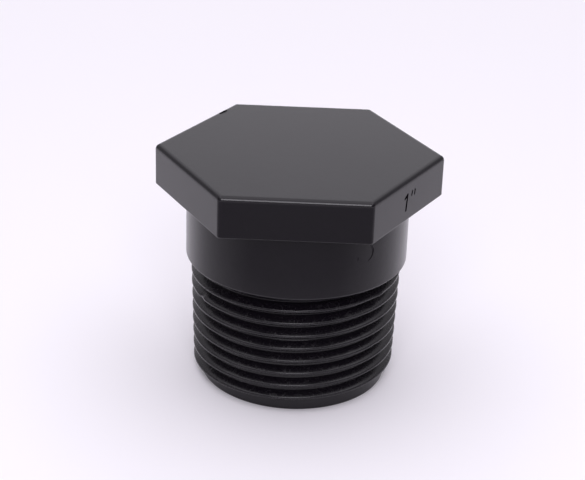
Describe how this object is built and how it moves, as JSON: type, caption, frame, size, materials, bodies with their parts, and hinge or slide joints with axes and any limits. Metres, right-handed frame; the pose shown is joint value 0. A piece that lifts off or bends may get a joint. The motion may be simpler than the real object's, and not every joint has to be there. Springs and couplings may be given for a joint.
{
  "type": "pvc threaded plug",
  "caption": "Black moulded hexagon-head pipe plug with a plain round collar and a tapered male pipe thread, hollow from the thread end.",
  "frame": {"origin": "centre of the open thread end's flat face, on the thread's axis", "axes": "+Z along the thread's axis from the open end to the hexagon's top; +X through a corner of the hexagon; a flat of the hexagon faces -Y"},
  "size_m": [0.0448, 0.039, 0.0379],
  "materials": {
    "black_plastic": "black moulded plastic, satin, with a faint flow texture and scuffs on the edges"
  },
  "bodies": {
    "root": {"threaded_plug": "black_plastic"}
  },
  "joints": []
}
